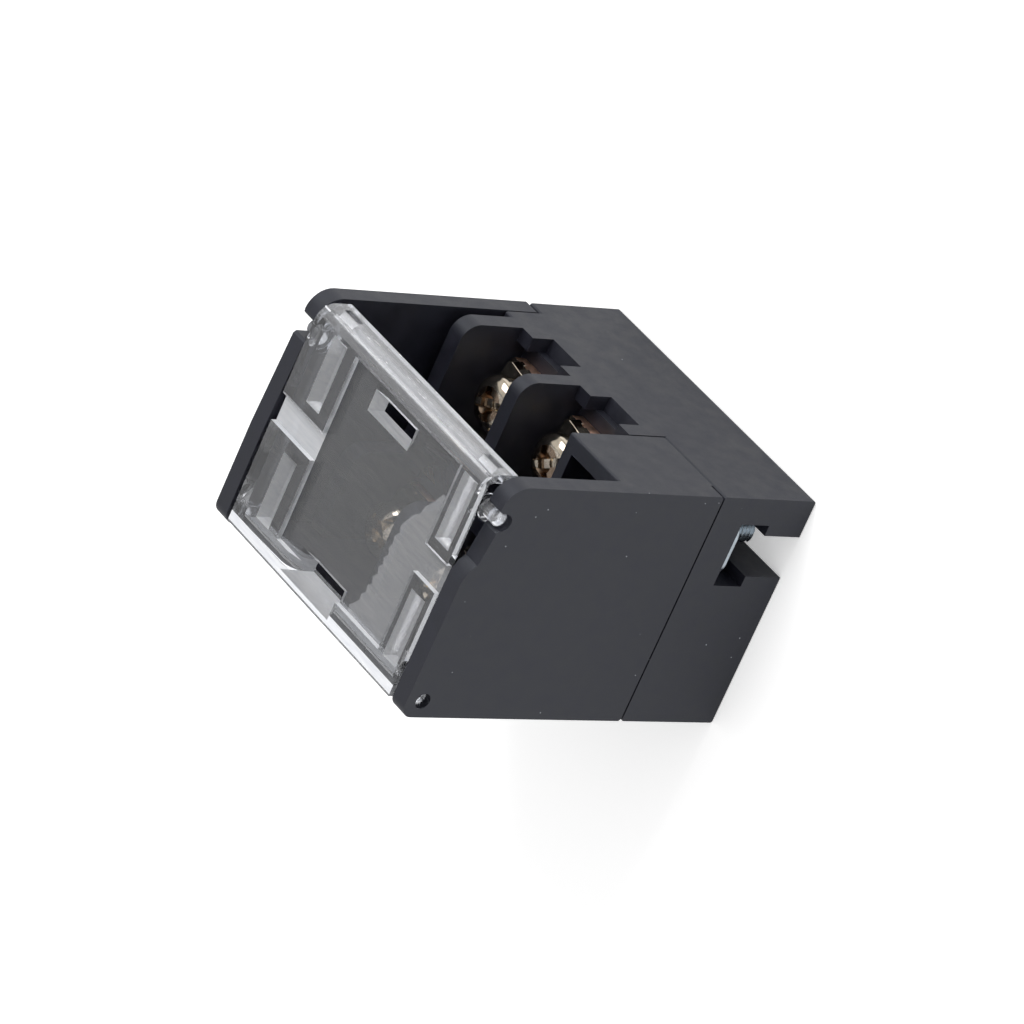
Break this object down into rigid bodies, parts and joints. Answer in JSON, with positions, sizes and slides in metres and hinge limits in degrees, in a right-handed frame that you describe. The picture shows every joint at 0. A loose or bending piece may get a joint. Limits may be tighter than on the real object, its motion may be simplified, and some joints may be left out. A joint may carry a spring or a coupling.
{
  "type": "barrier terminal strip",
  "caption": "Barrier terminal block: black moulded body with screw terminals between insulating barriers on two levels, T-slot rail clamp and a clear hinged cover",
  "frame": {"origin": "centre of the bounding box, on the plane of the base that faces the rail", "axes": "+Z from the rail towards the cover, +X along the rail towards the clamp section, +Y across the rail towards the side where the wires enter"},
  "size_m": [0.0572, 0.042, 0.0643],
  "materials": {
    "black_moulding": "matte, fine moulded texture",
    "clear_plastic": "clear, polished",
    "plated_brass": "nickel plated, warm edge",
    "plated_steel": "nickel plated",
    "zinc_steel": "bright zinc plated"
  },
  "bodies": {
    "block": {"block_body": "black_moulding", "clamp_housing": "black_moulding", "far_end_plate": "black_moulding", "conductor_bar_a": "plated_brass", "conductor_bar_b": "plated_brass", "clamp_nut_plate": "zinc_steel"},
    "cover": {"cover": "clear_plastic"},
    "plate_a_low": {"pressure_plate_a_low": "plated_steel"},
    "screw_a_low": {"terminal_screw_a_low": "plated_steel", "spring_washer_a_low": "plated_steel"},
    "plate_a_high": {"pressure_plate_a_high": "plated_steel"},
    "screw_a_high": {"terminal_screw_a_high": "plated_steel", "spring_washer_a_high": "plated_steel"},
    "plate_b_low": {"pressure_plate_b_low": "plated_steel"},
    "screw_b_low": {"terminal_screw_b_low": "plated_steel", "spring_washer_b_low": "plated_steel"},
    "plate_b_high": {"pressure_plate_b_high": "plated_steel"},
    "screw_b_high": {"terminal_screw_b_high": "plated_steel", "spring_washer_b_high": "plated_steel"},
    "clamp_washer": {"clamp_washer_ring": "zinc_steel"},
    "clamp_screw": {"clamp_screw": "zinc_steel"}
  },
  "joints": [
    {"name": "cover_hinge", "type": "hinge", "parent": "block", "child": "cover", "pos_m": [0, -0.018, 0.0611], "axis": [1, 0, 0], "range_deg": [0, 190]},
    {"name": "lift_a_low", "type": "slide", "parent": "block", "child": "plate_a_low", "axis": [0, 0, 1], "range_m": [0, 0.004]},
    {"name": "turn_a_low", "type": "hinge", "parent": "plate_a_low", "child": "screw_a_low", "pos_m": [0.0041, 0.0108, 0.0305], "axis": [0, 0, 1], "range_deg": [0, 1802]},
    {"name": "lift_a_high", "type": "slide", "parent": "block", "child": "plate_a_high", "axis": [0, 0, 1], "range_m": [0, 0.004]},
    {"name": "turn_a_high", "type": "hinge", "parent": "plate_a_high", "child": "screw_a_high", "pos_m": [0.0041, -0.0135, 0.0407], "axis": [0, 0, 1], "range_deg": [0, 1802]},
    {"name": "lift_b_low", "type": "slide", "parent": "block", "child": "plate_b_low", "axis": [0, 0, 1], "range_m": [0, 0.004]},
    {"name": "turn_b_low", "type": "hinge", "parent": "plate_b_low", "child": "screw_b_low", "pos_m": [-0.0129, 0.0108, 0.0305], "axis": [0, 0, 1], "range_deg": [0, 1802]},
    {"name": "lift_b_high", "type": "slide", "parent": "block", "child": "plate_b_high", "axis": [0, 0, 1], "range_m": [0, 0.004]},
    {"name": "turn_b_high", "type": "hinge", "parent": "plate_b_high", "child": "screw_b_high", "pos_m": [-0.0129, -0.0135, 0.0407], "axis": [0, 0, 1], "range_deg": [0, 1802]},
    {"name": "lift_clamp", "type": "slide", "parent": "block", "child": "clamp_washer", "axis": [0, 0, 1], "range_m": [0, 0.009]},
    {"name": "turn_clamp", "type": "hinge", "parent": "clamp_washer", "child": "clamp_screw", "pos_m": [0.0199, 0.0105, 0.0232], "axis": [0, 0, 1], "range_deg": [0, 4052]}
  ],
  "couplings": [
    {"joint": "turn_a_low", "follows": "lift_a_low", "rad_per_m": 7854},
    {"joint": "turn_a_high", "follows": "lift_a_high", "rad_per_m": 7854},
    {"joint": "turn_b_low", "follows": "lift_b_low", "rad_per_m": 7854},
    {"joint": "turn_b_high", "follows": "lift_b_high", "rad_per_m": 7854},
    {"joint": "turn_clamp", "follows": "lift_clamp", "rad_per_m": 7854}
  ]
}
